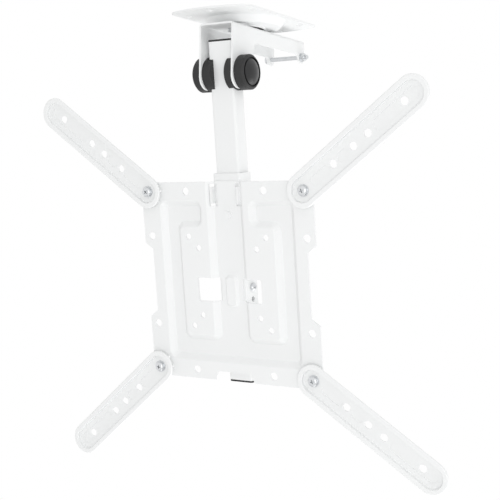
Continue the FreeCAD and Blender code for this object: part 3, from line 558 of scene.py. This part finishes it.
def hex_bolt(flats, head_height, diameter, length, threaded, pitch):
    """A bolt with a chamfered hexagon head, its seat at the origin."""
    head = hex_blank(flats, head_height)
    return merge("hex_bolt", [head] + shank(diameter, length, threaded, pitch))


def domed_cap(width, dome, edge, plug_width, plug_depth):
    """A cap with a shallow dome, a straight edge and a plug behind it, its seat at the origin."""
    curve = (width * width / 4 + dome * dome) / (2 * dome)
    deselect()
    bpy.ops.mesh.primitive_uv_sphere_add(
        segments=DOME_SEGMENTS, ring_count=DOME_RINGS, radius=curve,
        location=(0, 0, edge + dome - curve))
    cap = settle()
    bpy.ops.object.mode_set(mode="EDIT")
    bpy.ops.mesh.select_all(action="SELECT")
    bpy.ops.mesh.bisect(plane_co=(0, 0, edge), plane_no=UP, use_fill=True, clear_inner=True)
    select_vertices(cap, lambda co: abs(co.z - edge) < SAME_HEIGHT)
    bpy.ops.mesh.extrude_region_move(TRANSFORM_OT_translate={"value": (0, 0, -edge)})
    bpy.ops.mesh.inset(thickness=(width - plug_width) / 2)
    bpy.ops.mesh.extrude_region_move(TRANSFORM_OT_translate={"value": (0, 0, -plug_depth)})
    bpy.ops.mesh.select_all(action="SELECT")
    bpy.ops.mesh.normals_make_consistent(inside=False)
    bpy.ops.object.mode_set(mode="OBJECT")
    bevel_rims(cap, (edge,), edge * CAP_RIM, CAP_RIM_SEGMENTS)
    return cap


def merge(name, pieces):
    """Joins objects into one and names it."""
    pick(*pieces)
    if len(pieces) > 1:
        bpy.ops.object.join()
    thing = bpy.context.object
    thing.name = name
    thing.data.name = name
    return thing


def copies(name, master, places):
    """Sets one copy of a master at each place, makes them one piece and drops the master."""
    pieces = []
    for place in places:
        pick(master)
        bpy.ops.object.duplicate(linked=False)
        bpy.context.object.matrix_world = place
        pieces.append(settle())
    bpy.data.objects.remove(master, do_unlink=True)
    thing = merge(name, pieces)
    pick(thing)
    bpy.ops.object.shade_smooth_by_angle(angle=SMOOTH_ANGLE)
    return thing


def finish_piece(piece, body, *replaced, material="zinc_plated_steel", slot="zinc_steel"):
    """Gives a piece its material, sets it on its body and hides the plain nodes it stands for."""
    piece.data.materials.clear()
    piece.data.materials.append(bpy.data.materials[material])
    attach(piece, body)
    if replaced:
        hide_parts(*replaced)


def aimed(point, direction, spin=0.0):
    """A place at a point whose Z runs along a direction, turned about it by an angle."""
    turn = Vector(direction).normalized().to_track_quat("Z", "Y").to_matrix().to_4x4()
    return Matrix.Translation(point) @ turn @ Matrix.Rotation(spin, 4, "Z")


def corners_of(name):
    """The lower and upper corners of a CAD node's box."""
    return [Vector(corner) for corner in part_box(name)]


# Operators

class MOUNT_OT_pressings(bpy.types.Operator):
    """Coat the plates, bracket, mast, carrier and arms with white powder"""
    bl_idname = "mount.pressings"
    bl_label = "Coat pressings"

    def execute(self, context):
        dress(PRESSINGS, powder_coated_steel(context.scene.mount_finish))
        return {"FINISHED"}


class MOUNT_OT_mouldings(bpy.types.Operator):
    """Give covers, spacers, plugs and caps their black plastics"""
    bl_idname = "mount.mouldings"
    bl_label = "Finish mouldings"

    def execute(self, context):
        dress(MOULDINGS, moulded_nylon(context.scene.mount_finish))
        dress(GLOSS_CAPS, polished_abs(context.scene.mount_finish))
        return {"FINISHED"}


class MOUNT_OT_hardware(bpy.types.Operator):
    """Plate the bolts, washers and nuts with zinc"""
    bl_idname = "mount.hardware"
    bl_label = "Plate hardware"

    def execute(self, context):
        dress(HARDWARE, zinc_plated_steel(context.scene.mount_finish))
        return {"FINISHED"}


class MOUNT_OT_arm_screws(bpy.types.Operator):
    """Model the four pan-head screws that the arms turn on"""
    bl_idname = "mount.arm_screws"
    bl_label = "Model arm screws"

    def execute(self, context):
        sizes = context.scene.mount_fastener
        screw = pan_screw(sizes.arm_head, sizes.arm_head_height, sizes.arm_shank,
                          sizes.arm_seat + sizes.arm_grip, sizes.arm_tail, SCREW_PITCH)
        places = [aimed(pivot + PLATE_FRONT * sizes.arm_seat, PLATE_FRONT,
                        ARM_SCREW_TURN + ARM_SCREW_STEP * number)
                  for number, pivot in enumerate(ARM_PIVOTS)]
        finish_piece(copies("arm_pan_screws", screw, places), "mast", "arm_screws")
        return {"FINISHED"}


class MOUNT_OT_arm_nuts(bpy.types.Operator):
    """Model the four nuts behind the arm screws"""
    bl_idname = "mount.arm_nuts"
    bl_label = "Model arm nuts"

    def execute(self, context):
        sizes = context.scene.mount_fastener
        height = sizes.arm_grip - sizes.arm_tail - sizes.plate_sheet
        nut = hex_nut(sizes.arm_flats, height, sizes.arm_shank / 2)
        places = [aimed(pivot - PLATE_FRONT * sizes.plate_sheet, -PLATE_FRONT,
                        ARM_NUT_STEP * number)
                  for number, pivot in enumerate(ARM_PIVOTS)]
        finish_piece(copies("arm_hex_nuts", nut, places), "mast", "arm_nuts")
        return {"FINISHED"}


class MOUNT_OT_carrier_screws(bpy.types.Operator):
    """Model the pan-head screw and the sunk headless one that lock the carrier to the mast"""
    bl_idname = "mount.carrier_screws"
    bl_label = "Model carrier screws"

    def execute(self, context):
        sizes = context.scene.mount_fastener
        low, high = corners_of("carrier_screws")
        radius = sizes.lock_head / 2
        seat = high.x - sizes.lock_head_height
        length = seat - low.x
        screw = pan_screw(sizes.lock_head, sizes.lock_head_height, sizes.lock_shank,
                          length, LOCK_THREAD, SCREW_PITCH)
        stud = merge("stud", shank(sizes.lock_shank, length - sizes.lock_sunk,
                                   LOCK_THREAD, SCREW_PITCH))
        # The screws lie along the leaning mast: the upper one is at the front of the node's box
        upper = Vector((seat, low.y + radius, high.z - radius))
        lower = Vector((seat - sizes.lock_sunk, high.y - radius, low.z + radius))
        pair = [copies("upper_screw", screw, [aimed(upper, RIGHT, LOCK_SCREW_TURN)]),
                copies("lower_stud", stud, [aimed(lower, RIGHT)])]
        finish_piece(merge("carrier_pan_screws", pair), "mast", "carrier_screws")
        return {"FINISHED"}


class MOUNT_OT_cross_rod(bpy.types.Operator):
    """Model the cross rod's bolt and nut"""
    bl_idname = "mount.cross_rod"
    bl_label = "Model cross rod"

    def execute(self, context):
        sizes = context.scene.mount_fastener
        low, high = corners_of("stop_rod")
        nut_low, nut_high = corners_of("rod_nut")
        middle = (nut_low + nut_high) / 2
        flats = nut_high.y - nut_low.y
        seat = Vector((low.x + sizes.rod_head_height, middle.y, middle.z))
        bolt = hex_bolt(flats, sizes.rod_head_height, sizes.rod_shank,
                        high.x - seat.x, high.x - nut_high.x, ROD_PITCH)
        finish_piece(copies("rod_hex_bolt", bolt, [aimed(seat, LEFT)]), "bracket", "stop_rod")
        nut = hex_nut(flats, nut_high.x - nut_low.x, sizes.rod_shank / 2)
        place = aimed(Vector((nut_low.x, middle.y, middle.z)), RIGHT)
        finish_piece(copies("rod_hex_nut", nut, [place]), "bracket", "rod_nut")
        return {"FINISHED"}


class MOUNT_OT_swivel_set(bpy.types.Operator):
    """Model the swivel bolt, its nut and the two clamp screws"""
    bl_idname = "mount.swivel_set"
    bl_label = "Model swivel bolts"

    def execute(self, context):
        sizes = context.scene.mount_fastener
        self.swivel(sizes)
        self.clamps(sizes)
        return {"FINISHED"}

    def swivel(self, sizes):
        low, high = corners_of("swivel_bolt")
        nut_low, nut_high = corners_of("swivel_nut")
        flats = nut_high.y - nut_low.y
        seat = Vector((0, 0, high.z - sizes.swivel_head_height))
        bolt = hex_bolt(flats, sizes.swivel_head_height, sizes.swivel_shank,
                        seat.z - low.z, nut_low.z - low.z, SCREW_PITCH)
        finish_piece(copies("swivel_hex_bolt", bolt, [aimed(seat, UP)]), "ceiling", "swivel_bolt")
        nut = hex_nut(flats, nut_high.z - nut_low.z, sizes.swivel_shank / 2)
        place = aimed(Vector((0, 0, nut_high.z)), DOWN)
        finish_piece(copies("swivel_hex_nut", nut, [place]), "ceiling", "swivel_nut")

    def clamps(self, sizes):
        low, high = corners_of("clamp_screws")
        flats = (high.x - low.x) * math.sqrt(3) / 2
        seat = high.z - sizes.clamp_head_height
        screw = hex_bolt(flats, sizes.clamp_head_height, sizes.clamp_shank,
                         seat - low.z, sizes.clamp_tail, CLAMP_PITCH)
        reach = high.y - flats / 2
        places = [aimed(Vector((0, reach * side, seat)), UP) for side in (-1, 1)]
        finish_piece(copies("clamp_hex_screws", screw, places), "bracket", "clamp_screws")


class MOUNT_OT_hinge_caps(bpy.types.Operator):
    """Model the two domed caps on the hinge covers"""
    bl_idname = "mount.hinge_caps"
    bl_label = "Model hinge caps"

    def execute(self, context):
        sizes = context.scene.mount_fastener
        low, high = corners_of("cap_right")
        middle = (low + high) / 2
        seat = low.x + sizes.plug_depth
        cap = domed_cap(sizes.cap_width, sizes.cap_dome, sizes.cap_edge,
                        sizes.plug_width, sizes.plug_depth)
        places = [aimed(Vector((seat * side, middle.y, middle.z)), (side, 0, 0))
                  for side in (-1, 1)]
        finish_piece(copies("hinge_domes", cap, places), "bracket", "cap_left", "cap_right",
                     material="polished_abs", slot="black_gloss_cap")
        return {"FINISHED"}


class MOUNT_OT_disc_collar(bpy.types.Operator):
    """Model the collar under the boss that holds the friction disc"""
    bl_idname = "mount.disc_collar"
    bl_label = "Model disc collar"

    def execute(self, context):
        sizes = context.scene.mount_fastener
        low, high = corners_of("friction_disc")
        foot = low.z + sizes.collar_gap
        height = high.z + COLLAR_SUNK - foot
        collar = turned_blank(sizes.collar_radius, height, COLLAR_SIDES, foot)
        bevel_rims(collar, (foot,), COLLAR_RIM, COLLAR_RIM_SEGMENTS)
        bore = turned_blank(sizes.collar_radius - sizes.collar_wall, COLLAR_BORE, COLLAR_SIDES,
                            foot - COLLAR_BORE / 2)
        ring = combine(collar, bore, "DIFFERENCE")
        finish_piece(copies("disc_collar", ring, [Matrix()]), "ceiling",
                     material="powder_coated_steel", slot="white_powder_coat")
        return {"FINISHED"}


class MOUNT_OT_studio(bpy.types.Operator):
    """Set the pale floor, the soft lamps, the white surround and the camera"""
    bl_idname = "mount.studio"
    bl_label = "Set studio"

    def execute(self, context):
        stage = context.scene.mount_stage
        self.floor(stage)
        self.surround(stage)
        self.lamps(stage)
        self.camera(stage)
        context.scene.view_settings.view_transform = "Standard"
        return {"FINISHED"}

    def floor(self, stage):
        """A matt, pale floor far below the mount."""
        deselect()
        bpy.ops.mesh.primitive_plane_add(
            size=stage.floor_width, location=(0, 0, -stage.floor_drop))
        floor = bpy.context.object
        floor.name = "studio_floor"
        material, tree = new_material("pale_floor")
        matt = surface(tree, {}, Roughness=0.9)
        matt.inputs["Base Color"].default_value = (*srgb(FLOOR_WHITE), 1)
        floor.data.materials.append(material)

    def surround(self, stage):
        """White for the eye and for mirrors; its light on matt faces leans to one side."""
        world = bpy.data.worlds.new("white_surround")
        bpy.context.scene.world = world
        world.use_nodes = True
        tree = world.node_tree
        tree.nodes.clear()
        path = add_node(tree, "ShaderNodeLightPath")
        seen = path.outputs["Is Camera Ray"]
        for ray in ("Is Glossy Ray", "Is Transmission Ray"):
            either = add_node(tree, "ShaderNodeMath", operation="MAXIMUM")
            tree.links.new(seen, either.inputs[0])
            tree.links.new(path.outputs[ray], either.inputs[1])
            seen = either.outputs["Value"]
        outlook = add_node(tree, "ShaderNodeTexCoord").outputs["Generated"]
        side = add_node(tree, "ShaderNodeVectorMath", operation="DOT_PRODUCT")
        tree.links.new(outlook, side.inputs[0])
        side.inputs[1].default_value = BRIGHT_SIDE
        strength = add_node(tree, "ShaderNodeMapRange", {"Value": side.outputs["Value"]})
        strength.inputs["From Min"].default_value = -1
        strength.inputs["To Min"].default_value = stage.sky * (1 - stage.lean)
        strength.inputs["To Max"].default_value = stage.sky * (1 + stage.lean)
        light = add_node(tree, "ShaderNodeBackground", {"Strength": strength.outputs["Result"]},
                         Color=WHITE)
        white = add_node(tree, "ShaderNodeBackground", Color=WHITE, Strength=1.0)
        blend = add_node(tree, "ShaderNodeMixShader", {"Fac": seen})
        tree.links.new(light.outputs["Background"], blend.inputs[1])
        tree.links.new(white.outputs["Background"], blend.inputs[2])
        add_node(tree, "ShaderNodeOutputWorld", {"Surface": blend.outputs["Shader"]})

    def lamps(self, stage):
        """Soft square lamps, each aimed at the mount."""
        for name, (place, aim, width) in LAMPS.items():
            deselect()
            bpy.ops.object.light_add(type="AREA", location=place)
            lamp = bpy.context.object
            lamp.name = name + "_lamp"
            lamp.data.size = width
            lamp.data.energy = getattr(stage, name)
            view = Vector(aim) - Vector(place)
            lamp.rotation_euler = view.to_track_quat("-Z", "Y").to_euler()

    def camera(self, stage):
        """The photograph's camera."""
        up = CAMERA_BACK.cross(CAMERA_RIGHT).normalized()
        right = up.cross(CAMERA_BACK)
        turn = Matrix((right, up, CAMERA_BACK)).transposed().to_4x4()
        deselect()
        bpy.ops.object.camera_add()
        camera = bpy.context.object
        camera.name = "photo_camera"
        camera.matrix_world = Matrix.Translation(CAMERA_PLACE) @ turn
        camera.data.lens = stage.lens
        camera.data.sensor_width = SENSOR_WIDTH
        camera.data.sensor_fit = "HORIZONTAL"
        camera.data.clip_start = CLIP_START
        bpy.context.scene.camera = camera


class MOUNT_PT_panel(bpy.types.Panel):
    """Finishes, fasteners and studio of the mount"""
    bl_label = "Screen Mount"
    bl_idname = "MOUNT_PT_panel"
    bl_space_type = "VIEW_3D"
    bl_region_type = "UI"
    bl_category = "Screen Mount"

    def draw(self, context):
        layout = self.layout
        scene = context.scene
        for group in (scene.mount_finish, scene.mount_fastener, scene.mount_stage):
            box = layout.box()
            for name in group.__annotations__:
                box.prop(group, name)
        for operator in OPERATORS:
            layout.operator(operator.bl_idname)


SETTINGS = {
    "mount_finish": FinishSettings,
    "mount_fastener": FastenerSettings,
    "mount_stage": StageSettings,
}
OPERATORS = (
    MOUNT_OT_pressings, MOUNT_OT_mouldings, MOUNT_OT_hardware, MOUNT_OT_arm_screws,
    MOUNT_OT_arm_nuts, MOUNT_OT_carrier_screws, MOUNT_OT_cross_rod, MOUNT_OT_swivel_set,
    MOUNT_OT_hinge_caps, MOUNT_OT_disc_collar, MOUNT_OT_studio,
)


def register():
    for group in SETTINGS.values():
        bpy.utils.register_class(group)
    for name, group in SETTINGS.items():
        setattr(bpy.types.Scene, name, PointerProperty(type=group))
    for operator in OPERATORS:
        bpy.utils.register_class(operator)
    bpy.utils.register_class(MOUNT_PT_panel)


def unregister():
    bpy.utils.unregister_class(MOUNT_PT_panel)
    for operator in reversed(OPERATORS):
        bpy.utils.unregister_class(operator)
    for name in SETTINGS:
        delattr(bpy.types.Scene, name)
    for group in reversed(list(SETTINGS.values())):
        bpy.utils.unregister_class(group)


def main():
    register()
    bpy.ops.mount.pressings()
    bpy.ops.mount.mouldings()
    bpy.ops.mount.hardware()
    bpy.ops.mount.arm_screws()
    bpy.ops.mount.arm_nuts()
    bpy.ops.mount.carrier_screws()
    bpy.ops.mount.cross_rod()
    bpy.ops.mount.swivel_set()
    bpy.ops.mount.hinge_caps()
    bpy.ops.mount.disc_collar()
    bpy.ops.mount.studio()


if __name__ == "__main__":
    main()
